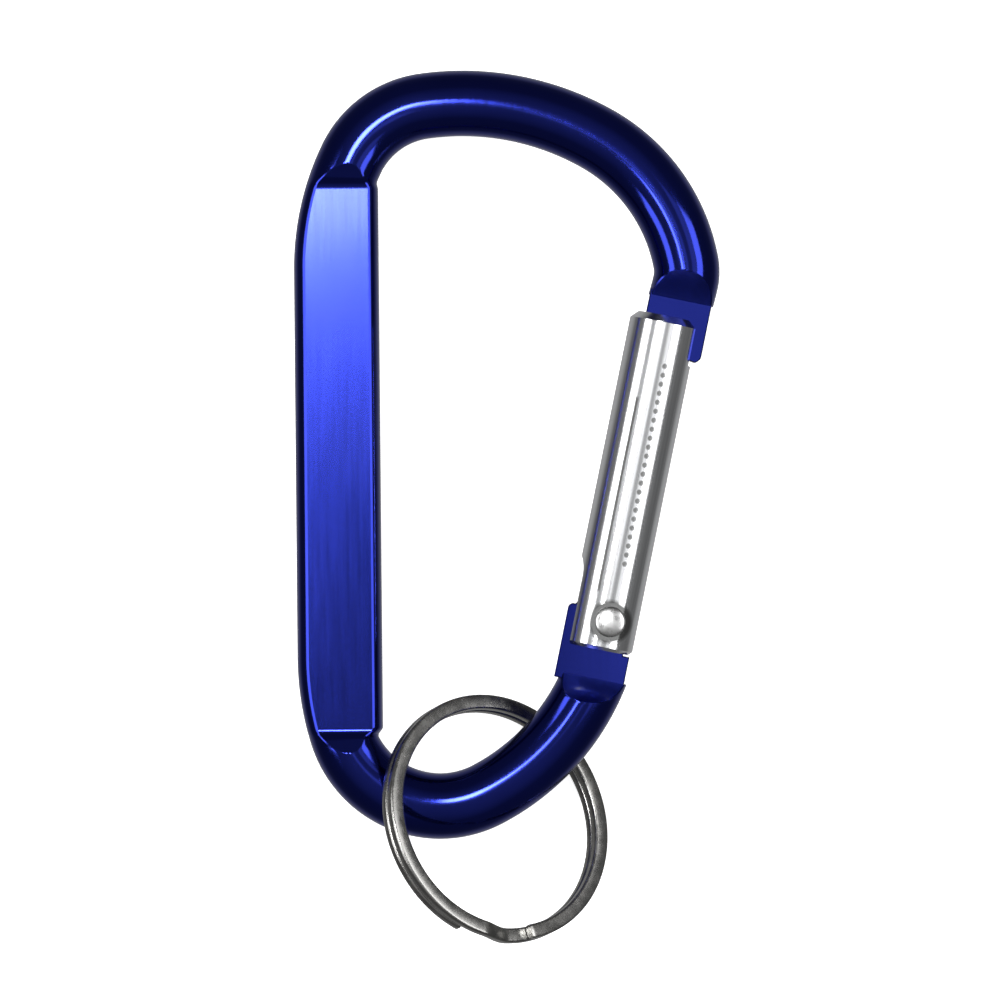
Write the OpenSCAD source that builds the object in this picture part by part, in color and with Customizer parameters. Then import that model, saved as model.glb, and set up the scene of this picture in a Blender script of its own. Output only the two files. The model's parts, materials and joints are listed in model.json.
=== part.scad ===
// Carabiner key ring: a bent aluminium rod clip with a sprung gate and a split ring.
// It lies flat: X is across the clip, Y runs up the spine and Z is out of its plane.
// The origin is the middle of the clip's outline, in the rod's middle plane.

/* [Rod] */
// Diameter of the bent rod
rod_d = 6.5; // [6.3:0.1:6.6]
// Distance from the origin to the rod's centreline along the spine
spine_x = 17.6; // [17.4:0.1:17.8]
// Height where the upper bends leave the spine
upper_bend_y = 18.2; // [18:0.1:18.4]
// Height where the lower bends leave the spine, below the origin
lower_bend_y = 20; // [19.9:0.1:20.1]

/* [Pressed spine] */
// Overall width of the pressed spine
spine_w = 8.4; // [8.2:0.1:8.6]
// Thickness between the two pressed flats
spine_t = 4.3; // [4.1:0.1:4.5]
// Upper end of the flats
flat_top_y = 26.1; // [25.8:0.1:26.3]
// Lower end of the flats, below the origin
flat_bottom_y = 26.9; // [26.7:0.1:27.1]
// Slope of the step from a flat up to the round rod
step_slope = 24; // [20:1:28]

/* [Gate] */
// Diameter of the gate
gate_d = 6.8; // [6.6:0.1:7]
// Length of the gate from the hinge to its nose end
gate_reach = 30.6; // [30.3:0.1:30.8]
// Length of the gate behind the hinge
gate_tail = 2.9; // [2.7:0.1:3]
// Lean of the gate away from the spine
gate_lean = 12; // [11.5:0.1:12.5]
// Largest opening angle, used for the shape of the cam
gate_open = 38; // [30:1:38]

/* [Rivet and spring] */
// Diameter of the rivet's shank
rivet_d = 1.8; // [1.6:0.1:1.8]
// Diameter of the rivet's heads
rivet_head_d = 3; // [2.8:0.1:3.2]
// Radius of the cam's base circle, which is the plunger's travel per radian
cam_base_r = 1.8; // [1.7:0.05:1.9]
// Diameter of the blind bore in the gate
bore_d = 3.6; // [3.4:0.1:3.6]
// Outer diameter of the return spring
spring_d = 3.2; // [3:0.1:3.2]
// Diameter of the spring's wire
spring_wire = 0.45; // [0.4:0.05:0.45]
// Number of turns in the spring
spring_turns = 8; // [6:1:9]

/* [Split ring] */
// Outer diameter of the split ring
ring_d = 25; // [24.8:0.1:25.4]
// Width of the flattened wire, measured across the ring
ring_wire_w = 1.45; // [1.4:0.05:1.6]
// Thickness of one of the ring's two turns
ring_wire_t = 0.95; // [0.85:0.05:1]
// Tilt of the ring out of the clip's plane
ring_tilt = 37; // [36:1:38]

/* [Hidden] */
$fn = 96;
EPS = 0.01;
seam = 0.01; // every second bend is this much thinner, and runs a little into the next
seam_lap = 0.4; // angle by which it does so
rod_r = rod_d / 2;
BIG = 40; // larger than any stretch that a cutter has to span
spine_reach = 8; // the press works on everything further out than this
tongue_reach = 12; // and the tongues' cutters on everything this near the gate's axis

// Bends of the rod's centreline, each as [radius, angle turned], from the spine outwards
UPPER_BENDS = [[25, 26], [9.3, 56.2], [27.1, 37.6], [17.8, 50], [5, 24], [30, 4.6]];
LOWER_BENDS = [[26.3, 16.8], [10.1, 100.5], [22.9, 44]];

// Hinge axis, and the gate's axis beside it
HINGE = [10, -16.7];
axis_offset = 0.6; // the gate's axis lies this far inside the hinge axis
hinge_n = axis_offset;

// Tongues: the flattened ends of the rod, in the gate's own frame, where x is the
// distance outwards from the gate's axis and y the distance along it from the hinge
tongue_t = 2.4;
slot_w = 2.6;
nose_in_n = -1.95;
nose_out_n = 4.25;
nose_line = 32.4; // where the nose tongue meets its scoops
nose_tip = 26.6;
nose_tip_r = 0.8;
nose_scoop_r = 8; // the cutter that shaped each tongue leaves a round scoop in the rod
heel_in_n = -3.7;
heel_out_n = 3.2;
heel_line = -5.8; // where the heel tongue meets its scoops
heel_scoop_r = 5;
scoop_start = 22; // slope of each scoop where it meets its tongue
heel_ledge = -3.1; // below the gate's tail the tongue is full width
heel_boss_r = 1.95; // round the rivet, clear of the gate's outer wall
cam_h = 2; // height of the cam above the hinge axis at rest
prong_r = 0.5;
prong_drop = 0.35; // from the end of the cam down to the prong's rounded end
cam_lap = 0.1; // how far the boss runs in under the cam
tongue_lap = 0.6; // how far a tongue runs back into the rod
tongue_hole_r = rivet_d / 2 + 0.05;

// Gate
gate_r = gate_d / 2;
nose_slot_floor = nose_in_n - 0.05;
nose_slot_end = 26.2;
heel_slot_floor = hinge_n + 2;
heel_slot_end = 5.2;
flank_n = -2.9; // the gate's inner flank is milled back to here
flank_end = 3.9;
flank_cutter_r = 4;
bore_end = 16;
end_chamfer = 0.7;
cheek_hole_r = rivet_d / 2 + 0.01;
pocket_r = 1.9; // spot face round each rivet head
pocket_z = 2.95;

// Rivet
rivet_head_h = 0.55;
rivet_edge_h = 0.15;

// Plunger and spring, along the gate's axis
plunger_gap = 0.02;
plunger_head_r = bore_d / 2 - 0.08;
plunger_head_l = 4;
plunger_stem_r = 0.95;
plunger_stem_l = 2;
spring_start = cam_h + plunger_gap + plunger_head_l;
spring_sides = 6;
spring_steps = 16; // per turn

// Split ring: its centre, the direction of its highest line and its crossover
RING_C = [-1.4, -36, 1.2];
ring_axis = 120;
ring_r = ring_d / 2;
ring_gap = 0.08; // between the two turns
ring_pitch = ring_wire_t + ring_gap;
cross_at = 143; // middle of the crossover, round the ring
cross_w = 16; // angle that the crossover takes
turn_gap = 10; // angle from the crossover to each end of the wire
cross_lap = 1; // angle by which it runs into each turn
cross_inset = 0.04; // how much narrower it is on each side
cross_inset_t = 0.1; // how much thinner it is on each face

// ---- helpers ----------------------------------------------------------------

// Puts children at the hinge, in the gate's own frame
module at_gate() translate([HINGE.x, HINGE.y, 0]) rotate(-gate_lean) translate([-hinge_n, 0, 0]) children();

// A cylinder along the gate's axis
module along_gate(r, from, to) translate([0, from, 0]) rotate([-90, 0, 0]) cylinder(r = r, h = to - from);

// A flat plate of an outline, centred on the clip's middle plane
module plate(t) linear_extrude(t, center = true) children();

// A bent piece of round bar: angles run anticlockwise from start
module bent_bar(centre, radius, start, sweep, r)
    translate([centre.x, centre.y, 0]) rotate(start)
        rotate_extrude(angle = sweep) translate([radius, 0]) circle(r);

function polar(r, a) = [r * cos(a), r * sin(a)];

// Centre of bend i, and the angle at which it starts, for a chain that turns one way
function bend_angle(bends, i, start, way) =
    i == 0 ? start : bend_angle(bends, i - 1, start, way) + way * bends[i - 1][1];
function bend_centre(bends, i, first, start, way) =
    i == 0 ? first
    : bend_centre(bends, i - 1, first, start, way)
      + polar(bends[i - 1][0] - bends[i][0], bend_angle(bends, i, start, way));

// A chain of tangent bends; way is 1 for anticlockwise and -1 for clockwise
module bends(chain, first, start, way, r)
    for (i = [0 : len(chain) - 1]) {
        thin = i % 2;
        from = bend_angle(chain, i, start, way) - (way > 0 ? 0 : chain[i][1]);
        bent_bar(bend_centre(chain, i, first, start, way), chain[i][0], from - thin * seam_lap,
                 chain[i][1] + 2 * thin * seam_lap, r - thin * seam);
    }

// ---- frame ------------------------------------------------------------------

UPPER_FIRST = [UPPER_BENDS[0][0] - spine_x, upper_bend_y];
LOWER_FIRST = [LOWER_BENDS[0][0] - spine_x, -lower_bend_y];

module upper_bow() bends(UPPER_BENDS, UPPER_FIRST, 180, -1, rod_r);
module lower_bow() bends(LOWER_BENDS, LOWER_FIRST, 180, 1, rod_r);

// Side of the spine: the pressed metal bulges out in a rounder curve than the rod
bulge_r = 2.4;
outer_bulge_x = spine_x + rod_r - bulge_r - 2 * seam;
inner_bulge_x = spine_x + rod_r - spine_w + bulge_r;
web_reach = 0.9; // how far the metal between them runs into each bulge
spine_lap = 0.3; // how far the pressed spine runs in under each step
bulge_run = 30; // angle by which the outer bulge runs on past the first lower bend

module outer_bulge() {
    translate([-outer_bulge_x, -lower_bend_y, 0]) rotate([-90, 0, 0])
        cylinder(r = bulge_r, h = lower_bend_y + upper_bend_y);
    bent_bar(UPPER_FIRST, UPPER_FIRST.x + outer_bulge_x, 180 - UPPER_BENDS[0][1],
             UPPER_BENDS[0][1] + seam_lap, bulge_r - seam);
    bent_bar(LOWER_FIRST, LOWER_FIRST.x + outer_bulge_x, 180 - seam_lap,
             LOWER_BENDS[0][1] + bulge_run + seam_lap, bulge_r - seam);
}

module inner_bulge()
    translate([-inner_bulge_x, -flat_bottom_y - 1, 0]) rotate([-90, 0, 0])
        cylinder(r = bulge_r, h = flat_bottom_y + flat_top_y + 2);

// Metal between the two bulges, following the outer one at each end
module web() plate(spine_t) difference() {
    translate([-outer_bulge_x - web_reach, -flat_bottom_y - 1])
        square([outer_bulge_x - inner_bulge_x + 2 * web_reach, flat_bottom_y + flat_top_y + 2]);
    translate([UPPER_FIRST.x - BIG, upper_bend_y]) difference() {
        square(BIG);
        translate([BIG, 0]) circle(UPPER_FIRST.x + outer_bulge_x + web_reach);
    }
    translate([LOWER_FIRST.x - BIG, -lower_bend_y - BIG]) difference() {
        square(BIG);
        translate([BIG, BIG]) circle(LOWER_FIRST.x + outer_bulge_x + web_reach);
    }
}

module pressed_spine()
    intersection() {
        union() {
            outer_bulge();
            inner_bulge();
            web();
        }
        translate([-BIG, -flat_bottom_y - spine_lap, -spine_t / 2])
            cube([BIG - spine_reach, flat_bottom_y + flat_top_y + 2 * spine_lap, spine_t]);
    }

// Everything that pressing takes away from the round rod round the spine. Its ends
// are the two steps, which rise from the flats at the step slope.
module spine_cutter(side) {
    rise = rod_r + 1 - spine_t / 2;
    run = rise / tan(step_slope);
    mirror([0, 0, side < 0 ? 1 : 0]) translate([-spine_reach, 0, 0]) rotate([0, -90, 0])
        linear_extrude(BIG - spine_reach) polygon([
            [spine_t / 2, -flat_bottom_y], [spine_t / 2, flat_top_y],
            [rod_r + 1, flat_top_y + run], [rod_r + 1, -flat_bottom_y - run]]);
}
module spine_clearing()
    translate([-BIG, -flat_bottom_y, -BIG / 2]) cube([BIG - spine_reach, flat_bottom_y + flat_top_y, BIG]);

// Round scoops that lead from a tongue's two faces, at line, out to the rod's skin.
// way is 1 where the rod lies above the line and -1 where it lies below.
module tongue_scoops(line, r, way)
    for (side = [0, 1]) mirror([0, 0, side])
        translate([-tongue_reach, line - way * r * sin(scoop_start), tongue_t / 2 + r * cos(scoop_start)])
            rotate([0, 90, 0]) cylinder(r = r, h = 2 * tongue_reach);

// Everything on the gate's side of the line
module beyond_line(line, way)
    translate([-tongue_reach, way > 0 ? line - tongue_reach - 2 : line, -BIG / 2])
        cube([2 * tongue_reach, tongue_reach + 2, BIG]);

// Flat tongue at the nose: its outer edge stands proud of the gate as a small hook
module nose_tongue() plate(tongue_t) {
    difference() {
        translate([nose_in_n, nose_tip]) square([nose_out_n - nose_in_n, nose_line + tongue_lap - nose_tip]);
        translate([nose_out_n - nose_tip_r, nose_tip - EPS]) square([nose_tip_r + EPS, nose_tip_r + EPS]);
    }
    translate([nose_out_n - nose_tip_r, nose_tip + nose_tip_r]) circle(nose_tip_r);
}

// Cam edge: an involute of the base circle, so that the plunger's flat end rises by
// cam_base_r for each radian that the gate turns
cam_steps = 10;
function cam_point(a) =
    let (lift = cam_h + cam_base_r * a * PI / 180)
    [hinge_n - cam_base_r * cos(a) - lift * sin(a), lift * cos(a) - cam_base_r * sin(a)];
CAM_EDGE = [for (i = [0 : cam_steps]) cam_point(gate_open * i / cam_steps)];
prong_top = CAM_EDGE[cam_steps].y - prong_drop;

module heel_outline() {
    low = heel_line - tongue_lap;
    polygon(concat(
        [[hinge_n + heel_boss_r, low], [hinge_n + heel_boss_r, 0], [hinge_n, cam_h - cam_lap]],
        CAM_EDGE,
        [[heel_in_n + prong_r, prong_top], [heel_in_n, prong_top - prong_r], [heel_in_n, low]]));
    translate([heel_in_n, low]) square([heel_out_n - heel_in_n, heel_ledge - low]);
    translate([hinge_n, 0]) circle(heel_boss_r);
    translate([heel_in_n + prong_r, prong_top - prong_r]) circle(prong_r);
}

module heel_tongue() plate(tongue_t) heel_outline();

module frame() color("mediumblue") difference() {
    $fn = 60;
    union() {
        difference() {
            union() {
                upper_bow();
                lower_bow();
            }
            spine_clearing();
            spine_cutter(1);
            spine_cutter(-1);
            at_gate() {
                tongue_scoops(nose_line, nose_scoop_r, 1);
                beyond_line(nose_line, 1);
                tongue_scoops(heel_line, heel_scoop_r, -1);
                beyond_line(heel_line, -1);
            }
        }
        pressed_spine();
        at_gate() {
            nose_tongue();
            heel_tongue();
        }
    }
    at_gate() translate([hinge_n, 0, -BIG / 2]) cylinder(r = tongue_hole_r, h = BIG);
}

// ---- gate -------------------------------------------------------------------

// Rounded bar with both ends chamfered
module gate_bar()
    rotate([-90, 0, 0]) rotate_extrude() polygon([
        [0, -gate_tail], [gate_r - end_chamfer / 2, -gate_tail], [gate_r, end_chamfer / 2 - gate_tail],
        [gate_r, gate_reach - end_chamfer], [gate_r - end_chamfer, gate_reach], [0, gate_reach]]);

// Slots, cut from the nose end on the outer side and from the heel end on the inner side
module gate_slots() plate(slot_w) {
    translate([nose_slot_floor, nose_slot_end]) square([BIG, BIG]);
    translate([heel_slot_floor - BIG, heel_slot_end - BIG]) square([BIG, BIG]);
}

// Flat milled on the inner flank at the hinge end, with the cutter's run-out
module flank_cut() plate(BIG) {
    translate([flank_n - BIG, -BIG]) square([BIG, BIG + flank_end]);
    translate([flank_n - flank_cutter_r, flank_end]) circle(flank_cutter_r);
}

module gate() color("silver") at_gate() difference() {
    gate_bar();
    gate_slots();
    flank_cut();
    along_gate(bore_d / 2, -gate_tail - 1, bore_end);
    translate([hinge_n, 0, -BIG / 2]) cylinder(r = cheek_hole_r, h = BIG);
    for (side = [0, 1]) mirror([0, 0, side]) translate([hinge_n, 0, pocket_z]) cylinder(r = pocket_r, h = 2);
}

// ---- rivet, plunger and spring ----------------------------------------------

// Low domed head: a short straight edge and a spherical cap
module rivet_head() {
    cap_h = rivet_head_h - rivet_edge_h;
    cap_r = (pow(rivet_head_d / 2, 2) + cap_h * cap_h) / (2 * cap_h);
    translate([0, 0, pocket_z + EPS]) intersection() {
        cylinder(r = rivet_head_d / 2, h = rivet_head_h);
        translate([0, 0, rivet_head_h - cap_r]) sphere(cap_r);
    }
}

module hinge_rivet() color("gainsboro") at_gate() translate([hinge_n, 0, 0]) {
    translate([0, 0, -pocket_z - 2 * EPS]) cylinder(r = rivet_d / 2, h = 2 * pocket_z + 4 * EPS);
    for (side = [0, 1]) mirror([0, 0, side]) rivet_head();
}

module plunger() color("darkgray") at_gate() {
    along_gate(plunger_head_r, cam_h + plunger_gap, spring_start);
    along_gate(plunger_stem_r, spring_start - 1, spring_start + plunger_stem_l);
}

// Coil as rings of points: the centreline climbs along the gate's axis
spring_coil_r = (spring_d - spring_wire) / 2;
spring_low = spring_start + EPS + spring_wire / 2;
spring_rise = bore_end - spring_start - spring_wire - 2 * EPS;
function coil_point(t, k) =
    let (turn = 360 * t * spring_turns, side = 360 * k / spring_sides,
         r = spring_coil_r + spring_wire / 2 * cos(side))
    [r * cos(turn), spring_low + spring_rise * t + spring_wire / 2 * sin(side), r * sin(turn)];
spring_rings = spring_turns * spring_steps;
SPRING_POINTS = [
    for (i = [0 : spring_rings]) for (k = [0 : spring_sides - 1]) coil_point(i / spring_rings, k)];
SPRING_FACES = concat(
    [[for (k = [0 : spring_sides - 1]) k]],
    [for (i = [0 : spring_rings - 1]) for (k = [0 : spring_sides - 1])
        let (a = i * spring_sides + k, b = i * spring_sides + (k + 1) % spring_sides)
        [a, a + spring_sides, b + spring_sides, b]],
    [[for (k = [spring_sides - 1 : -1 : 0]) spring_rings * spring_sides + k]]);

module return_spring() color("lightgray") at_gate() polyhedron(SPRING_POINTS, SPRING_FACES, convexity = 8);

// ---- split ring -------------------------------------------------------------

// One stretch of flattened wire, at a height z and from one angle round to another
module wire(from, to, z)
    rotate(from) rotate_extrude(angle = to - from)
        translate([ring_r - ring_wire_w, z - ring_wire_t / 2]) square([ring_wire_w, ring_wire_t]);

// The crossover is a short arc of slightly thinner wire, tipped so that it drops from
// the upper turn to the lower one
cross_tip = -atan(ring_pitch / 2 / ((ring_r - ring_wire_w / 2) * sin(cross_w / 2)));
module crossover()
    rotate(cross_at) rotate([cross_tip, 0, 0]) rotate(-cross_w / 2 - cross_lap)
        rotate_extrude(angle = cross_w + 2 * cross_lap)
            translate([ring_r - ring_wire_w + cross_inset, cross_inset_t - ring_wire_t / 2])
                square([ring_wire_w - 2 * cross_inset, ring_wire_t - 2 * cross_inset_t]);

module split_ring() color("dimgray")
    translate(RING_C) rotate([0, 0, ring_axis]) rotate([ring_tilt, 0, 0]) {
        wire(cross_at - cross_w / 2 - 360 + turn_gap + cross_w, cross_at - cross_w / 2, ring_pitch / 2);
        crossover();
        wire(cross_at + cross_w / 2, cross_at + cross_w / 2 + 360 - turn_gap - cross_w, -ring_pitch / 2);
    }

frame();
gate();
hinge_rivet();
plunger();
return_spring();
split_ring();
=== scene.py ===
import json
import math

import bmesh
import bpy
import numpy as np
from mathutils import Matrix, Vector
from mathutils.geometry import tessellate_polygon


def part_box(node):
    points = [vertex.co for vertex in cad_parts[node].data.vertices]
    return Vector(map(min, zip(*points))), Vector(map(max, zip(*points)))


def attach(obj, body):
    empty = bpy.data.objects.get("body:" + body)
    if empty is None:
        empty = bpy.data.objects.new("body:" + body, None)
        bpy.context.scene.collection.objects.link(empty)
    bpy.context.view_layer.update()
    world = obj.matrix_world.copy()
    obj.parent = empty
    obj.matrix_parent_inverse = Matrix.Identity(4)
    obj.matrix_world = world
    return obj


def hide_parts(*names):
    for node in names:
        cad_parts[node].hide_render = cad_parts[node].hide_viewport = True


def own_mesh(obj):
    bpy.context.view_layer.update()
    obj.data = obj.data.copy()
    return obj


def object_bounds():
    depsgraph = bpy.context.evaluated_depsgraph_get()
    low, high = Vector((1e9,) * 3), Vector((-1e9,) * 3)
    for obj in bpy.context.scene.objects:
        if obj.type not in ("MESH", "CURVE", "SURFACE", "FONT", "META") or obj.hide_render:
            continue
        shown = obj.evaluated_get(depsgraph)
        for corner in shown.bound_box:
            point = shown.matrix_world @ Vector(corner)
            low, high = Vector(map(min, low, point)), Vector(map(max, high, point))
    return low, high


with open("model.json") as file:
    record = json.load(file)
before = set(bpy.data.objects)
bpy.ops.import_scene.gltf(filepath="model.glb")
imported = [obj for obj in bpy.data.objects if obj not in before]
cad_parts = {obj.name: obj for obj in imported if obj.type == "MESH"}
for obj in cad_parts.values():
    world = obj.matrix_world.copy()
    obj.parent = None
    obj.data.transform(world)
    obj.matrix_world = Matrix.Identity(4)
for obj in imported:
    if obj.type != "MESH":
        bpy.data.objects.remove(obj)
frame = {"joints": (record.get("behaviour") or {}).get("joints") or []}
CAD_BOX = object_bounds()

MM = 0.001
JOINTS = {j["name"]: j for j in frame["joints"]}

# ---- sizes in millimetres, in the clip's own frame --------------------------

ROD_R = 3.25
SPINE_X = 17.6
UPPER_Y, LOWER_Y = 18.2, -20.0
UPPER_BENDS = ((25.0, 26.0), (9.3, 56.2), (27.1, 37.6), (17.8, 50.0), (5.0, 24.0),
               (30.0, 4.6))
LOWER_BENDS = ((26.3, 16.8), (10.1, 100.5), (22.9, 44.0))
FLAT_Z = 2.15
FLAT_TOP, FLAT_BOTTOM = 26.1, -26.9
SPINE_IN_X = -12.45
STEP_SLOPE = math.tan(math.radians(24))
OUTER_BAND, INNER_BAND, BEVEL_W, BEVEL_Z = 1.0, 0.8, 0.2, 0.09

TONGUE_Z = 1.2
NOSE_LINE, NOSE_SCOOP = 32.4, 8.0
HEEL_LINE, HEEL_SCOOP = -5.8, 5.0
SCOOP_START = math.radians(22)

HINGE = np.array(JOINTS["gate_hinge"]["pos_m"][:2]) / MM
ALONG = np.array(JOINTS["plunger_slide"]["axis"][:2])
ACROSS = np.array([ALONG[1], -ALONG[0]])
AXIS_OFFSET = 0.6
GATE_R, GATE_TAIL, GATE_REACH = 3.4, -2.9, 30.6
TAIL_EDGE, REACH_EDGE = 0.35, 0.7
BORE_R, BORE_END = 1.8, 16.0
SLOT_Z, NOSE_SLOT_FROM, HEEL_SLOT_TO = 1.3, 26.2, 5.2
FLANK_N, FLANK_END, FLANK_R = -2.9, 3.9, 4.0
RIVET_HOLE_R, POCKET_R, POCKET_Z = 0.91, 1.9, 2.95
GATE_OPEN = 38
# a cutter's reach beyond the metal, and the tiny radius that closes a turned shape on its axis
WELL_PAST, CENTRE = 9.0, 0.01
RING_TILT, RING_AXIS = math.radians(37), math.radians(120)


def gate_xy(n, a):
    """A point of the gate's own frame (outwards, along) in the clip's frame."""
    return HINGE + (n - AXIS_OFFSET) * ACROSS + a * ALONG


def along(p):
    """Distance of clip points along the gate's axis, from the hinge."""
    return (np.asarray(p)[..., :2] - HINGE) @ ALONG


# ---- mesh helpers -----------------------------------------------------------

def new_object(name, verts_mm, faces, crease=30.0):
    mesh = bpy.data.meshes.new(name)
    mesh.from_pydata([tuple(v) for v in np.asarray(verts_mm) * MM], [], faces)
    mesh.validate()
    obj = bpy.data.objects.new(name, mesh)
    bpy.context.scene.collection.objects.link(obj)
    tidy_normals(obj, crease)
    return obj


def tidy_normals(obj, crease):
    bm = bmesh.new()
    bm.from_mesh(obj.data)
    bmesh.ops.recalc_face_normals(bm, faces=bm.faces)
    bm.to_mesh(obj.data)
    bm.free()
    obj.data.shade_smooth()
    obj.data.set_sharp_from_angle(angle=math.radians(crease))


def loft(name, rings, crease=30.0, closed=False):
    """Skins rings of points, each an array (points, 3), in order."""
    rings = np.asarray(rings)
    count, width = rings.shape[:2]
    faces = []
    for i in range(count if closed else count - 1):
        a, b = i * width, ((i + 1) % count) * width
        faces += [(a + k, a + (k + 1) % width, b + (k + 1) % width, b + k)
                  for k in range(width)]
    if not closed:
        faces.append(tuple(range(width)))
        faces.append(tuple(range((count - 1) * width, count * width)))
    return new_object(name, rings.reshape(-1, 3), faces, crease)


def lathe(name, profile, place, steps=96, crease=30.0):
    """Turns a profile of (radius, height) about an axis that place puts in the clip's frame."""
    turns = np.arange(steps) * 2 * math.pi / steps
    rings = [[place(r * math.cos(t), r * math.sin(t), h) for t in turns] for r, h in profile]
    return loft(name, rings, crease)


def cut(obj, cutters):
    """Boolean difference, applied, with the cutters removed afterwards."""
    for c in cutters:
        mod = obj.modifiers.new("cut", "BOOLEAN")
        mod.operation, mod.solver, mod.object = "DIFFERENCE", "EXACT", c
    apply_modifiers(obj)
    for c in cutters:
        bpy.data.objects.remove(c)


def apply_modifiers(obj):
    bpy.context.view_layer.update()
    done = bpy.data.meshes.new_from_object(obj.evaluated_get(bpy.context.evaluated_depsgraph_get()))
    obj.modifiers.clear()
    obj.data = done


def outline_inset(points, amount):
    """Moves each corner of a closed outline inwards by the same amount."""
    p = np.asarray(points, float)
    area = np.sum(p[:, 0] * np.roll(p[:, 1], -1) - p[:, 1] * np.roll(p[:, 0], -1))
    e1 = p - np.roll(p, 1, axis=0)
    e2 = np.roll(p, -1, axis=0) - p
    n1 = np.stack([-e1[:, 1], e1[:, 0]], 1) / np.linalg.norm(e1, axis=1)[:, None]
    n2 = np.stack([-e2[:, 1], e2[:, 0]], 1) / np.linalg.norm(e2, axis=1)[:, None]
    mitre = (n1 + n2) / np.maximum(1 + np.sum(n1 * n2, axis=1), 0.3)[:, None]
    return p + (amount if area > 0 else -amount) * mitre


def slab(name, outline, hole, half, bevel, place):
    """A flat plate of an outline with one round hole, its edges slightly rounded."""
    levels = [(-half, bevel), (bevel - half, 0.0), (half - bevel, 0.0), (half, bevel)]
    verts, faces = [], []
    for loop, sign in ((np.asarray(outline, float), 1), (hole, -1)):
        if loop is None:
            continue
        base, n = len(verts), len(loop)
        for z, inset in levels:
            share = 0.5 if sign < 0 else 1.0
            ring = outline_inset(loop, inset * sign * share) if inset else loop
            verts += [(*place(*q), z) for q in ring]
        for k in range(len(levels) - 1):
            a, b = base + k * n, base + (k + 1) * n
            faces += [(a + i, a + (i + 1) % n, b + (i + 1) % n, b + i) for i in range(n)]
    n, m = len(outline), 0 if hole is None else len(hole)
    for level in (0, len(levels) - 1):
        index = [level * n + i for i in range(n)]
        index += [len(levels) * n + level * m + i for i in range(m)]
        loops = [[Vector(verts[i]) for i in index[:n]]]
        if m:
            loops.append([Vector(verts[i]) for i in index[n:]])
        faces += [tuple(index[i] for i in tri) for tri in tessellate_polygon(loops)]
    return new_object(name, verts, faces, 24.0)


def arc_points(centre, radius, start, end, steps):
    t = np.radians(np.linspace(start, end, steps))
    return [(centre[0] + radius * math.cos(a), centre[1] + radius * math.sin(a)) for a in t]


# ---- frame: one skin swept along the bent rod -------------------------------

def bend_list(bends, first_y, way):
    """Each bend as (centre, radius, start angle, end angle), with tangent joins."""
    centre, angle, out = np.array([bends[0][0] - SPINE_X, first_y]), 180.0, []
    for i, (radius, sweep) in enumerate(bends):
        if i:
            step = bends[i - 1][0] - radius
            turn = math.radians(angle)
            centre = centre + step * np.array([math.cos(turn), math.sin(turn)])
        out.append((centre, radius, angle, angle + way * sweep))
        angle += way * sweep
    return out


def on_bend(bend, angle):
    a = math.radians(angle)
    out = np.array([math.cos(a), math.sin(a)])
    return bend[0] + bend[1] * out, out


def softly_above(x, width=0.3):
    """max(x, 0) with a small fillet."""
    return 0.5 * (x + np.sqrt(x * x + width * width))


def scoop(away, r):
    """Height that a tongue's round scoop leaves, at a distance away from the tongue's line."""
    run = np.clip(away, 0, None) + r * math.sin(SCOOP_START)
    return TONGUE_Z + r * math.cos(SCOOP_START) - np.sqrt(np.maximum(r * r - run * run, 0))


def cut_height(p):
    """Height that pressing and milling leave above the middle plane at clip points."""
    y, a = p[..., 1], along(p)
    past_foot = np.maximum(softly_above(y - FLAT_TOP), softly_above(FLAT_BOTTOM - y))
    spine = FLAT_Z + STEP_SLOPE * past_foot
    nose = scoop(a - NOSE_LINE, NOSE_SCOOP)
    heel = scoop(HEEL_LINE - a, HEEL_SCOOP)
    near_nose = (p[..., 0] > 8) & (y > 0)
    near_heel = (p[..., 0] > 2) & (y < 0)
    elsewhere = np.where(p[..., 0] < 8, spine, WELL_PAST)
    return np.where(near_nose, nose, np.where(near_heel, heel, elsewhere))


ARC_STEPS, ZONE_STEPS = 18, 12
ZONE_TURN = np.linspace(0, math.pi, ZONE_STEPS + 1)
ZONE = np.concatenate([[0.0], 0.5 - 0.5 * np.cos(ZONE_TURN) * 0.97, [1.0]])


def rod_point(bend, c, d, phi):
    """Points of the round rod's skin where the upright plane through c along d meets it."""
    q, z = ROD_R * np.cos(phi), ROD_R * np.sin(phi)
    rel = c - bend[0]
    b, target = rel @ d, bend[1] + q
    w = -b + np.sqrt(np.maximum(b * b - rel @ rel + target * target, 0))
    return np.stack([c[0] + w * d[0], c[1] + w * d[1], z], -1)


def bisect(holds, low, high, halvings=40):
    """Largest value between two limits at which a test that starts out true still holds."""
    for _ in range(halvings):
        mid = 0.5 * (low + high)
        if holds(mid):
            low = mid
        else:
            high = mid
    return low


def cut_angle(bend, c, d, edge, way):
    """How far round the rod, from one edge, the cut surface meets its skin."""
    def below_cut(turn):
        p = rod_point(bend, c, d, np.array([edge + way * turn]))[0]
        return p[2] < cut_height(p[None, :])[0]
    return bisect(below_cut, 0.0, math.pi / 2, 26)


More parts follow.
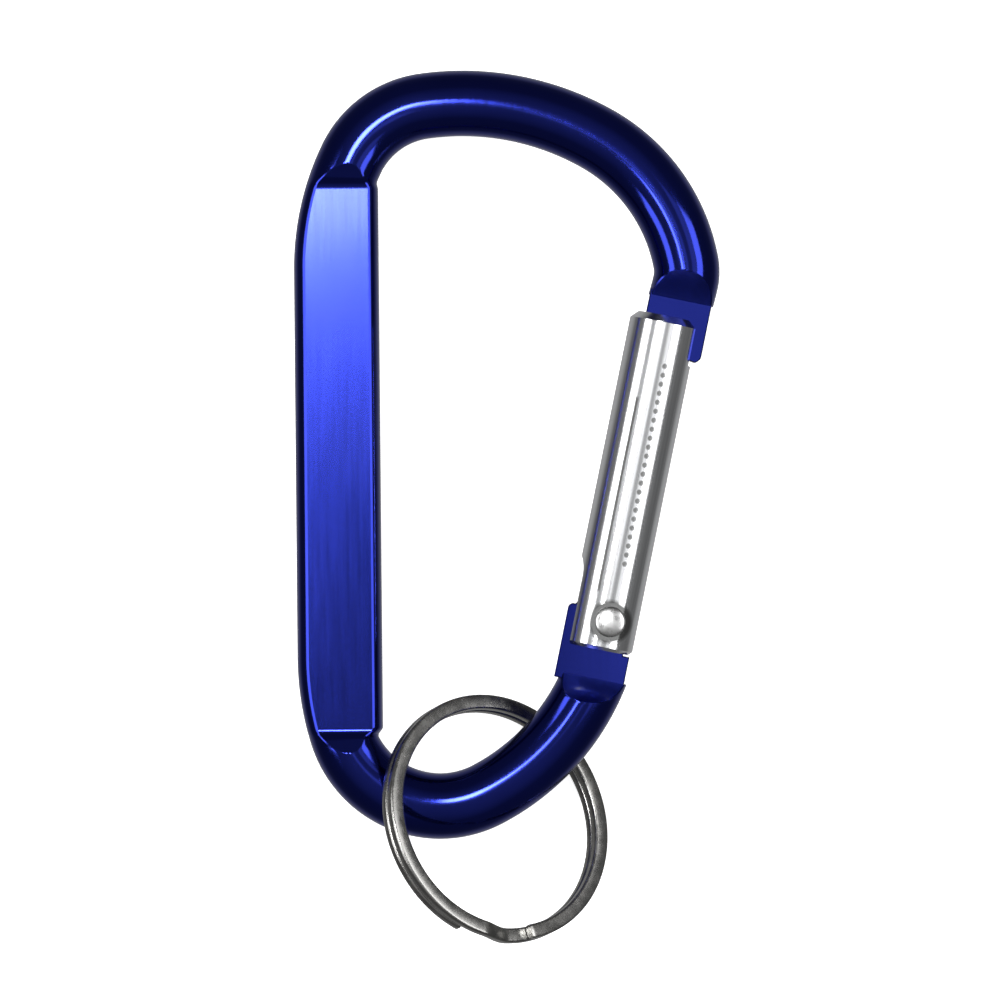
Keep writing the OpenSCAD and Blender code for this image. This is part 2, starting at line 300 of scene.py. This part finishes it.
def rod_half(bend, c, d):
    """Upper half of a section, from the outer edge over the top to the inner edge."""
    top, spare, edge = math.pi / 2, math.radians(7), 0.035
    fo = min(cut_angle(bend, c, d, 0.0, 1), top - spare)
    fi = max(math.pi - cut_angle(bend, c, d, math.pi, -1), top + spare)
    outer = rod_point(bend, c, d, np.linspace(0, fo - edge, ARC_STEPS + 1))
    inner = rod_point(bend, c, d, np.linspace(fi + edge, math.pi, ARC_STEPS + 1))
    a, b = rod_point(bend, c, d, np.array([fo, fi]))
    zone = a + (b - a) * (0.02 + 0.96 * ZONE)[:, None]
    w = (zone[:, :2] - c) @ d
    skew = max(abs(d @ ((c - bend[0]) / np.linalg.norm(c - bend[0]))), 0.5)
    zone[:, 2] = np.minimum(np.sqrt(np.maximum(ROD_R ** 2 - (w * skew) ** 2, 0)), cut_height(zone))
    return np.concatenate([outer, zone, inner])


def band(x_edge, width, direction):
    """Side of the pressed spine: an elliptical bulge from the middle plane to the bevel."""
    reach = math.radians(72)
    t = np.linspace(0, 1, ARC_STEPS + 1) * reach
    x = x_edge + direction * width * (1 - np.cos(t)) / (1 - math.cos(reach))
    return x, (FLAT_Z - BEVEL_Z) * np.sin(t) / math.sin(reach)


def spine_outer_x(y):
    if y > UPPER_Y:
        reach = UPPER_BENDS[0][0] + ROD_R
        return UPPER_BENDS[0][0] - SPINE_X - math.sqrt(reach ** 2 - (y - UPPER_Y) ** 2)
    if y < LOWER_Y:
        reach = LOWER_BENDS[0][0] + ROD_R
        return LOWER_BENDS[0][0] - SPINE_X - math.sqrt(reach ** 2 - (y - LOWER_Y) ** 2)
    return -SPINE_X - ROD_R


def spine_half(y):
    xo, zo = band(spine_outer_x(y), OUTER_BAND, 1)
    xi, zi = band(SPINE_IN_X, INNER_BAND, -1)
    inner = np.stack([xi, np.full_like(xi, y), zi], -1)[::-1]
    outer = np.stack([xo, np.full_like(xo, y), zo], -1)
    x = xo[-1] + BEVEL_W + (xi[-1] - BEVEL_W - xo[-1] - BEVEL_W) * ZONE
    zone = np.stack([x, np.full_like(x, y), np.full_like(x, FLAT_Z)], -1)
    return np.concatenate([outer, zone, inner])


def smooth(t):
    t = min(max(t, 0.0), 1.0)
    return t * t * (3 - 2 * t)


def full_ring(half):
    """Mirrors the upper half of a section in the middle plane."""
    lower = half[1:-1][::-1] * np.array([1, 1, -1])
    return np.concatenate([half, lower])


def blend_direction(a, b, t):
    d = a + (b - a) * t
    return d / np.linalg.norm(d)


SPINE_BLEND, SPINE_TURN, TONGUE_TURN = 1.2, 5.5, 4.5


def bow_sections(bends, spine_y, end_line, way):
    """Sections of a bow from the spine's foot line to the tongue's line."""
    level = np.array([-1.0, 0.0])
    start = math.degrees(math.asin(abs(spine_y - bends[0][0][1]) / bends[0][1]))
    angle = 180 + way * start
    tip = end_angle(bends[-1], end_line, way)
    lengths = []
    for i, b in enumerate(bends):
        a0 = angle if i == 0 else b[2]
        a1 = tip if i == len(bends) - 1 else b[3]
        lengths.append((b, a0, a1, abs(math.radians(a1 - a0)) * b[1]))
    total = sum(item[3] for item in lengths)
    halves = []
    for s in section_stations(total):
        rest = s
        for b, a0, a1, length in lengths:
            if rest <= length + 1e-9:
                break
            rest -= length
        c, out = on_bend(b, a0 + (a1 - a0) * min(rest / length, 1.0))
        d = blend_direction(level, out, smooth(s / SPINE_TURN))
        d = blend_direction(ACROSS, d, smooth((total - s) / TONGUE_TURN))
        half = rod_half(b, c, d)
        if s < SPINE_BLEND:
            half = blend_halves(spine_half(c[1]), half, smooth(s / SPINE_BLEND))
        halves.append(half)
    return halves


def blend_halves(a, b, t):
    return a + (b - a) * t


def section_stations(total):
    """Distances along a bow: close together at the steps, wider apart between them."""
    first_run, last_run, fine_step, wide_step = 4.2, 6.2, 0.09, 0.32
    fine = np.arange(0, first_run, fine_step)
    wide = int((total - (first_run + last_run)) / wide_step)
    mid = np.linspace(first_run, total - last_run, wide)
    last = np.linspace(total - last_run, total, 64)
    return np.concatenate([fine, mid, last[1:]])


def end_angle(bend, line, way):
    """Angle on the last bend at which its centreline crosses the tongue's line."""
    def before_line(angle):
        a = along(on_bend(bend, angle)[0])
        return a > line if way < 0 else a < line
    return bisect(before_line, bend[2], bend[3])


def spine_stations():
    """Heights of the spine's sections, from the upper foot line to the lower one."""
    inset = 0.05
    upper = np.linspace(FLAT_TOP - inset, UPPER_Y, 24)
    straight = np.linspace(UPPER_Y, LOWER_Y, 40)
    lower = np.linspace(LOWER_Y, FLAT_BOTTOM + inset, 24)
    return np.concatenate([upper, straight[1:-1], lower])


def build_rod():
    upper = bend_list(UPPER_BENDS, UPPER_Y, -1)
    lower = bend_list(LOWER_BENDS, LOWER_Y, 1)
    top = bow_sections(upper, FLAT_TOP, NOSE_LINE, -1)
    spine = [spine_half(y) for y in spine_stations()]
    bottom = bow_sections(lower, FLAT_BOTTOM, HEEL_LINE, 1)
    halves = top[::-1] + spine + bottom
    return loft("clip_rod", [full_ring(h) for h in halves], 15.0)


TONGUE_LAP, TONGUE_BEVEL, TONGUE_HOLE_R = 0.6, 0.09, 0.95


def nose_outline():
    inner, outer, top, tip, r = -1.95, 4.25, NOSE_LINE + TONGUE_LAP, 26.6, 0.8
    corner = arc_points((outer - r, tip + r), r, -70, 0, 9)
    return [(inner, top), (inner, tip + 0.9)] + corner + [(outer, top)]


def heel_outline():
    """Hinge tongue: a round boss, then the involute of the cam's base circle on the prong."""
    boss, ledge, inner, outer, tip_r = 1.95, -3.1, -3.7, 3.2, 0.5
    base, height, o = 1.8, 2.0, AXIS_OFFSET
    low = HEEL_LINE - TONGUE_LAP
    points = [(inner, low), (outer, low), (outer, ledge), (o + boss, ledge)]
    points += [(o + x, y) for x, y in arc_points((0, 0), boss, 0, 84, 14)]
    for t in np.radians(np.linspace(0, GATE_OPEN, 14)):
        lift = height + base * t
        points.append((o - base * math.cos(t) - lift * math.sin(t),
                       lift * math.cos(t) - base * math.sin(t)))
    return points + arc_points((inner + tip_r, points[-1][1] - 0.85), tip_r, 75, 180, 8)


def build_frame():
    rod = build_rod()
    hole = np.array(arc_points((AXIS_OFFSET, 0), TONGUE_HOLE_R, 360, 0, 33)[:-1])
    nose = slab("clip_nose", nose_outline(), None, TONGUE_Z, TONGUE_BEVEL, gate_xy)
    heel = slab("clip_heel", heel_outline(), hole, TONGUE_Z, TONGUE_BEVEL, gate_xy)
    for piece in (rod, nose, heel):
        dress(piece, anodised(), "clip")
    dull_the_flats(rod)
    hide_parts("frame")


# ---- gate -------------------------------------------------------------------

def in_gate(u, v, h):
    return (*gate_xy(u, h), v)


def gate_box(name, n0, n1, a0, a1, z):
    outline = ((n0, a0), (n1, a0), (n1, a1), (n0, a1))
    return loft(name, [[(*gate_xy(n, a), s) for n, a in outline] for s in (-z, z)])


def gate_post(name, centre, radius, z0, z1, steps=64):
    """Upright cylinder in the gate's frame."""
    ring = arc_points(centre, radius, 0, 360 * (1 - 1 / steps), steps)
    return loft(name, [[(*gate_xy(n, a), z) for n, a in ring] for z in (z0, z1)])


def build_gate():
    r, tail, reach = GATE_R, GATE_TAIL, GATE_REACH
    heights = np.linspace(0.2, reach - 1.2, 16)
    profile = [(CENTRE, tail), (r - TAIL_EDGE, tail), (r, tail + TAIL_EDGE)]
    profile += [(r, h) for h in heights]
    profile += [(r, reach - REACH_EDGE), (r - REACH_EDGE, reach), (CENTRE, reach)]
    gate = lathe("gate_body", profile, in_gate, 160)
    bore = lathe("cut_bore", [(BORE_R, tail - 1), (BORE_R, BORE_END)], in_gate, 64)
    flank = loft("cut_flank", flank_rings())
    cutters = [
        gate_box("cut_nose", -2.0, WELL_PAST, NOSE_SLOT_FROM, 40, SLOT_Z),
        gate_box("cut_heel", -WELL_PAST, AXIS_OFFSET + 2, -WELL_PAST, HEEL_SLOT_TO, SLOT_Z),
        flank, bore,
        gate_post("cut_rivet", (AXIS_OFFSET, 0), RIVET_HOLE_R, -WELL_PAST, WELL_PAST),
        gate_post("cut_spot_up", (AXIS_OFFSET, 0), POCKET_R, POCKET_Z, WELL_PAST),
        gate_post("cut_spot_down", (AXIS_OFFSET, 0), POCKET_R, -WELL_PAST, -POCKET_Z)]
    cut(gate, cutters)
    gate.data.set_sharp_from_angle(angle=math.radians(28))
    dress(gate, bright_gate(), "gate")
    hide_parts("gate")


def flank_rings():
    """Cutter of the flat on the inner flank, with its round run-out."""
    far = FLANK_N - 12
    out = [(far, -WELL_PAST), (FLANK_N, -WELL_PAST)]
    out += arc_points((FLANK_N - FLANK_R, FLANK_END), FLANK_R, 0, 60, 28)
    out.append((far, FLANK_END + 8))
    return [[(*gate_xy(n, a), z) for n, a in out] for z in (-WELL_PAST, WELL_PAST)]


def on_rivet_axis(u, v, h):
    return (*gate_xy(AXIS_OFFSET + u, v), h)


def build_rivet():
    floor, head_r, edge, rise = 2.96, 1.5, 0.15, 0.55
    shank_r = 0.9
    cap = [(head_r * math.cos(t), edge + (rise - edge) * math.sin(t))
           for t in np.linspace(0, 1.5, 12)]
    upper = [(shank_r, floor), (head_r, floor)] + [(r, floor + z) for r, z in cap]
    upper.append((CENTRE, floor + rise))
    lower = [(r, -z) for r, z in upper[::-1]]
    rivet = lathe("rivet", lower + upper, on_rivet_axis, 72)
    dress(rivet, bright_rivet(), "gate")
    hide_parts("hinge_rivet")


def build_plunger():
    face, r, neck, end = 2.02, 1.72, 6.02, 8.02
    stem_r, stem_tip_r, edge, shoulder = 0.95, 0.8, 0.15, 0.12
    profile = [(CENTRE, face), (r - edge, face), (r, face + edge), (r, neck - shoulder),
               (r - shoulder, neck), (stem_r, neck), (stem_r, end - edge),
               (stem_tip_r, end), (CENTRE, end)]
    plunger = lathe("plunger_pin", profile, in_gate, 64)
    dress(plunger, turned_steel(), "plunger")
    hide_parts("plunger")


def build_spring():
    """Round wire coil with its end turns closed up."""
    wire, coil, start, end, turns, sides = 0.225, 1.375, 6.26, 15.76, 8.0, 10
    rings = []
    for t in np.linspace(0, 1, int(turns * 28) + 1):
        angle = 2 * math.pi * turns * t
        rise = start + (end - start) * (0.5 - 0.5 * math.cos(math.pi * t) * 0.4 + (t - 0.5) * 0.6)
        for_side = np.arange(sides) * 2 * math.pi / sides
        rings.append([in_gate((coil + wire * math.cos(s)) * math.cos(angle),
                              (coil + wire * math.cos(s)) * math.sin(angle),
                              rise + wire * math.sin(s)) for s in for_side])
    spring = loft("return_coil", rings, 60)
    dress(spring, turned_steel(), "gate")
    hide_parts("return_spring")
    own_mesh(spring)


# ---- split ring -------------------------------------------------------------

RING_R, WIRE_W, WIRE_T, RING_PITCH = 12.5, 1.45, 0.95, 1.03
CROSS_AT, CROSS_W, RING_END = 143.0, 16.0, 18.0


def ring_height(angle):
    """Height of the wire's middle above the ring's plane at an angle along its two turns."""
    drop = smooth((angle - (CROSS_AT - CROSS_W / 2)) / CROSS_W)
    return RING_PITCH * (0.5 - drop)


def wire_section(corner=0.26, steps=5):
    """Rounded rectangle of the flattened wire, as (outwards, up)."""
    w, t = WIRE_W / 2 - corner, WIRE_T / 2 - corner
    points = []
    for i, (u, v) in enumerate(((w, t), (-w, t), (-w, -t), (w, -t))):
        points += arc_points((u, v), corner, 90 * i, 90 * i + 90, steps)
    return np.array(points)


def ring_place(p):
    """From the ring's own frame to the clip's."""
    low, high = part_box("split_ring")
    centre = np.array((low + high) / 2) / MM
    x, flat_y, flat_z = p
    y = flat_y * math.cos(RING_TILT) - flat_z * math.sin(RING_TILT)
    z = flat_y * math.sin(RING_TILT) + flat_z * math.cos(RING_TILT)
    return centre + np.array([x * math.cos(RING_AXIS) - y * math.sin(RING_AXIS),
                              x * math.sin(RING_AXIS) + y * math.cos(RING_AXIS), z])


def build_ring():
    first, last = CROSS_AT + RING_END - 360, CROSS_AT - RING_END + 360
    angles = np.unique(np.concatenate([np.arange(first, last, 2.0), [last, first + 0.6, last - 0.6],
                                       np.arange(CROSS_AT - 10, CROSS_AT + 10, 0.5)]))
    section, middle, rings = wire_section(), RING_R - WIRE_W / 2, []
    for angle in angles:
        a = math.radians(angle)
        climb = (ring_height(angle + 0.5) - ring_height(angle - 0.5)) / (middle * math.radians(1))
        lean = math.atan(climb)
        shrink = 0.93 if angle in (first, last) else 1.0
        ring = []
        for u, v in section * shrink:
            r = middle + u
            slip = -v * math.sin(lean)
            p = (r * math.cos(a) - slip * math.sin(a), r * math.sin(a) + slip * math.cos(a),
                 ring_height(angle) + v * math.cos(lean))
            ring.append(ring_place(p))
        rings.append(ring)
    ring = loft("key_ring", rings, 50)
    dress(ring, nickel(), "ring")
    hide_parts("split_ring")


# ---- materials --------------------------------------------------------------

def base_material(name, colour, roughness, metallic=1.0):
    found = bpy.data.materials.get(name)
    if found:
        return found, None, None
    mat = bpy.data.materials.new(name)
    mat.use_nodes = True
    shader = mat.node_tree.nodes["Principled BSDF"]
    shader.inputs["Base Color"].default_value = (*colour, 1)
    shader.inputs["Roughness"].default_value = roughness
    shader.inputs["Metallic"].default_value = metallic
    return mat, mat.node_tree, shader


def node(tree, kind, **inputs):
    n = tree.nodes.new(kind)
    for key, value in inputs.items():
        n.inputs[key.replace("_", " ")].default_value = value
    return n


def coordinates(tree, scale=(1, 1, 1)):
    """Object coordinates in millimetres, stretched."""
    place = tree.nodes.new("ShaderNodeTexCoord")
    mapping = tree.nodes.new("ShaderNodeMapping")
    mapping.inputs["Scale"].default_value = [1000 * s for s in scale]
    tree.links.new(place.outputs["Object"], mapping.inputs["Vector"])
    return mapping.outputs["Vector"]


def noise(tree, vector, scale, detail=3.0):
    n = node(tree, "ShaderNodeTexNoise", Scale=scale, Detail=detail)
    tree.links.new(vector, n.inputs["Vector"])
    return n.outputs["Fac"]


def remap(tree, value, low, high, from_low=0.3, from_high=0.7):
    n = tree.nodes.new("ShaderNodeMapRange")
    limits = {"From Min": from_low, "From Max": from_high, "To Min": low, "To Max": high}
    for key, v in limits.items():
        n.inputs[key].default_value = v
    tree.links.new(value, n.inputs["Value"])
    return n.outputs["Result"]


def tint(tree, value, dark, light):
    n = tree.nodes.new("ShaderNodeMix")
    n.data_type = "RGBA"
    n.inputs[6].default_value = (*dark, 1)
    n.inputs[7].default_value = (*light, 1)
    tree.links.new(value, n.inputs[0])
    return n.outputs[2]


def add_bump(tree, shader, height, strength, distance):
    n = node(tree, "ShaderNodeBump", Strength=strength, Distance=distance)
    tree.links.new(height, n.inputs["Height"])
    tree.links.new(n.outputs["Normal"], shader.inputs["Normal"])


def anodised(name="anodised_rod", rough=(0.10, 0.14)):
    mat, tree, shader = base_material(name, (0.010, 0.018, 0.20), 0.14)
    if tree is None:
        return mat
    grain = noise(tree, coordinates(tree, (3.0, 0.12, 3.0)), 1.0, 4.0)
    cloud = noise(tree, coordinates(tree, (0.10, 0.06, 0.10)), 1.0, 2.0)
    dye = tint(tree, remap(tree, cloud, 0, 1), (0.009, 0.016, 0.18), (0.012, 0.020, 0.22))
    tree.links.new(dye, shader.inputs["Base Color"])
    tree.links.new(remap(tree, grain, *rough), shader.inputs["Roughness"])
    shader.inputs["Coat Weight"].default_value = 0.1
    shader.inputs["Coat Roughness"].default_value = 0.1
    add_bump(tree, shader, grain, 0.02, 0.00001)
    return mat


def dull_the_flats(rod):
    """The spine's pressed faces and the milled scoops are less polished than the round rod."""
    rod.data.materials.append(anodised("anodised_flat", (0.17, 0.22)))
    rod.data.materials.append(anodised("anodised_scoop", (0.34, 0.42)))
    near = 0.03
    for face in rod.data.polygons:
        x, y, z = face.center / MM
        if x < -8 and FLAT_BOTTOM < y < FLAT_TOP and abs(abs(z) - FLAT_Z) < near:
            face.material_index = 1
        elif x > 2 and abs(abs(z) - cut_height(np.array([[x, y, z]]))[0]) < near:
            face.material_index = 2


def gate_place(tree):
    """Object coordinates in the gate's own frame: outwards, along and up, in mm."""
    place = tree.nodes.new("ShaderNodeTexCoord")
    mapping = tree.nodes.new("ShaderNodeMapping")
    mapping.inputs["Rotation"].default_value = (0, 0, math.atan2(ALONG[0], ALONG[1]))
    mapping.inputs["Scale"].default_value = (1000, 1000, 1000)
    mapping.inputs["Location"].default_value = (AXIS_OFFSET - HINGE @ ACROSS, -HINGE @ ALONG, 0)
    tree.links.new(place.outputs["Object"], mapping.inputs["Vector"])
    return mapping.outputs["Vector"]


def stretched(tree, vector, scale):
    mapping = tree.nodes.new("ShaderNodeMapping")
    mapping.inputs["Scale"].default_value = scale
    tree.links.new(vector, mapping.inputs["Vector"])
    return mapping.outputs["Vector"]


def maths(tree, operation, *values):
    n = tree.nodes.new("ShaderNodeMath")
    n.operation = operation
    for socket, value in zip(n.inputs, values):
        if isinstance(value, (int, float)):
            socket.default_value = value
        else:
            tree.links.new(value, socket)
    return n.outputs[0]


def reach_from(tree, x, y, centre_x):
    """Distance of (x, y) from a centre on the x axis."""
    dx = maths(tree, "SUBTRACT", x, centre_x)
    squares = (maths(tree, "MULTIPLY", dx, dx), maths(tree, "MULTIPLY", y, y))
    return maths(tree, "SQRT", maths(tree, "ADD", *squares))


def between(tree, value, low, high, edge=0.3):
    """One between two limits and zero outside them, with soft edges."""
    after = remap(tree, value, 0, 1, low, low + edge)
    before = remap(tree, value, 1, 0, high, high + edge)
    return maths(tree, "MULTIPLY", after, before)


def gate_marks(tree, x, y, z):
    """A fine draw line and a plain row of equal dimples along the gate's face."""
    line_x, row_x, pitch = -1.15, 0.85, 0.9
    line = remap(tree, maths(tree, "ABSOLUTE", maths(tree, "ADD", x, -line_x)), 1, 0, 0.07, 0.15)
    line = maths(tree, "MULTIPLY", line, between(tree, y, 2.6, 22.0))
    step = maths(tree, "SUBTRACT", maths(tree, "MODULO", y, pitch), pitch / 2)
    dimple = remap(tree, reach_from(tree, x, step, row_x), 1, 0, 0.2, 0.32)
    dimple = maths(tree, "MULTIPLY", dimple, between(tree, y, 5.4, 26.1, 0.05))
    marks = maths(tree, "MAXIMUM", line, dimple)
    return maths(tree, "MULTIPLY", marks, remap(tree, z, 0, 1, 1.0, 1.5))


def bright_gate():
    mat, tree, shader = base_material("gate_silver", (0.80, 0.81, 0.83), 0.24)
    if tree is None:
        return mat
    place = gate_place(tree)
    split = tree.nodes.new("ShaderNodeSeparateXYZ")
    tree.links.new(place, split.inputs[0])
    x, y, z = split.outputs
    draw = noise(tree, stretched(tree, place, (4.0, 0.04, 4.0)), 1.0, 3.0)
    marks = gate_marks(tree, x, y, z)
    # Painted shade: the colour is darkened in the pocket round the rivet and a little past its rim,
    # as the shade that falls in that recess
    painted_recess_shade = remap(tree, reach_from(tree, x, y, AXIS_OFFSET), 1, 0, POCKET_R + 0.05, 2.3)
    marks_and_painted_shade = maths(tree, "MULTIPLY", maths(tree, "MAXIMUM", marks, painted_recess_shade), 0.8)
    metal = tint(tree, remap(tree, draw, 0, 1), (0.74, 0.75, 0.77), (0.86, 0.87, 0.89))
    mix = tree.nodes.new("ShaderNodeMix")
    mix.data_type = "RGBA"
    tree.links.new(marks_and_painted_shade, mix.inputs[0])
    tree.links.new(metal, mix.inputs[6])
    # Dark colour shared by the marks and by the painted shade round the rivet
    mix.inputs[7].default_value = (0.10, 0.10, 0.095, 1)
    tree.links.new(mix.outputs[2], shader.inputs["Base Color"])
    tree.links.new(remap(tree, draw, 0.15, 0.20), shader.inputs["Roughness"])
    add_bump(tree, shader, maths(tree, "SUBTRACT", draw, marks), 0.12, 0.00003)
    return mat


def bright_rivet():
    mat, tree, shader = base_material("rivet_silver", (0.62, 0.62, 0.62), 0.28)
    if tree is None:
        return mat
    dents = noise(tree, coordinates(tree), 1.3, 3.0)
    tree.links.new(remap(tree, dents, 0.2, 0.4), shader.inputs["Roughness"])
    add_bump(tree, shader, dents, 0.25, 0.00006)
    return mat


def turned_steel():
    mat, tree, shader = base_material("turned_steel", (0.55, 0.56, 0.58), 0.35)
    if tree is None:
        return mat
    rings = noise(tree, stretched(tree, gate_place(tree), (0.3, 9.0, 0.3)), 1.0, 2.0)
    tree.links.new(remap(tree, rings, 0.25, 0.45), shader.inputs["Roughness"])
    return mat


def nickel():
    mat, tree, shader = base_material("nickel", (0.50, 0.495, 0.48), 0.2)
    if tree is None:
        return mat
    wear = noise(tree, coordinates(tree, (0.8, 0.8, 0.8)), 1.0, 4.0)
    plate = tint(tree, remap(tree, wear, 0, 1), (0.26, 0.257, 0.25), (0.34, 0.336, 0.325))
    tree.links.new(plate, shader.inputs["Base Color"])
    tree.links.new(remap(tree, wear, 0.22, 0.30), shader.inputs["Roughness"])
    return mat


def dress(obj, mat, body):
    obj.data.materials.clear()
    obj.data.materials.append(mat)
    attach(obj, body)


# ---- floor, lights and camera -----------------------------------------------

def build_floor(low_z):
    """Pale floor just under the clip, out of sight of the metal's reflections."""
    gap, thickness, radius = 0.02, 4.0, 420.0
    z = low_z / MM - gap
    floor = loft("floor", [disc(radius, h) for h in (z - thickness, z)])
    mat, tree, shader = base_material("floor_pale", (0.93, 0.93, 0.93), 0.9, 0.0)
    soft = noise(tree, coordinates(tree), 0.02, 2.0)
    pale = tint(tree, soft, (0.93, 0.93, 0.93), (0.95, 0.95, 0.95))
    tree.links.new(pale, shader.inputs["Base Color"])
    shader.inputs["Emission Color"].default_value = (1, 1, 1, 1)
    shader.inputs["Emission Strength"].default_value = 0.85
    shader.inputs["Specular IOR Level"].default_value = 0.0
    floor.data.materials.append(mat)
    floor.visible_glossy = False


def disc(radius, z, steps=72):
    return [(x, y, z) for x, y in arc_points((0, 0), radius, 0, 360 * (1 - 1 / steps), steps)]


def panel(name, place_mm, size_mm, radiance, turn=0.0):
    """Soft light of a stated brightness, facing down or turned about Y by an angle."""
    data = bpy.data.lights.new(name, "AREA")
    data.shape, data.size, data.size_y = "RECTANGLE", size_mm[0] * MM, size_mm[1] * MM
    data.energy = radiance * math.pi * data.size * data.size_y
    obj = bpy.data.objects.new(name, data)
    bpy.context.scene.collection.objects.link(obj)
    obj.location = Vector(place_mm) * MM
    obj.rotation_euler = (0, turn, 0)
    obj.visible_camera = False
    return obj


def curve(tree, value, points):
    """Maps a value through a few brightness stops, given as (position, brightness)."""
    ramp = tree.nodes.new("ShaderNodeValToRGB")
    tree.links.new(value, ramp.inputs["Fac"])
    stops = ramp.color_ramp.elements
    while len(stops) < len(points):
        stops.new(0.5)
    for stop, (position, level) in zip(stops, points):
        stop.position, stop.color = position, (level, level, level, 1)
    return ramp.outputs["Color"]


def build_world():
    """Studio walls: nearly even, a little brighter overhead and from below."""
    world = bpy.data.worlds.new("room")
    bpy.context.scene.world = world
    world.use_nodes = True
    tree = world.node_tree
    place = tree.nodes.new("ShaderNodeTexCoord")
    split = tree.nodes.new("ShaderNodeSeparateXYZ")
    tree.links.new(place.outputs["Generated"], split.inputs[0])
    rise = remap(tree, split.outputs["Z"], 0.0, 1.0, -1.0, 1.0)
    from_below = ((0.0, 0.40), (0.2, 0.34), (0.33, 0.13))
    from_above = ((0.5, 0.12), (0.78, 0.14), (1.0, 0.4))
    walls = curve(tree, rise, from_below + from_above)
    tree.links.new(walls, tree.nodes["Background"].inputs["Color"])


def build_lights():
    """A strong key with softer panels beside it, one over the gate, and a long one on each side."""
    overhead = 250
    panel("key", (-36, 56, overhead), (48, 46), 44)
    panel("fill", (-27, 16, overhead), (34, 32), 1.9)
    panel("strip", (-60, 8, overhead), (22, 60), 17)
    panel("over_gate", (24, -4, overhead), (30, 80), 0.8)
    side_panel("left", -52, 230, 80, 5)
    side_panel("right", 49, 230, 80, 4.5)
    side_panel("right_soft", 30, 250, 60, 0.7)


def side_panel(name, angle, away, width, radiance):
    """Long panel running along Y, at an angle from straight overhead, facing the clip's middle."""
    a, length = math.radians(angle), 200
    panel(name, (away * math.sin(a), 0, away * math.cos(a)), (width, length), radiance, a)


def build_camera():
    """Camera straight above the clip, turned by a hair, with a square view of a set width."""
    away, middle, view_width, roll, sensor = 600.0, (-0.71, -4.63), 98.7, -0.00925, 36.0
    data = bpy.data.cameras.new("camera")
    data.sensor_width = sensor
    data.lens = sensor * away / view_width
    data.clip_start, data.clip_end = 0.01, 10
    cam = bpy.data.objects.new("camera", data)
    bpy.context.scene.collection.objects.link(cam)
    cam.location = Vector((*middle, away)) * MM
    cam.rotation_euler = (0, 0, roll)
    bpy.context.scene.camera = cam
    bpy.context.scene.view_settings.view_transform = "Standard"


build_frame()
build_gate()
build_rivet()
build_plunger()
build_spring()
build_ring()
build_floor(CAD_BOX[0][2])
build_world()
build_lights()
build_camera()
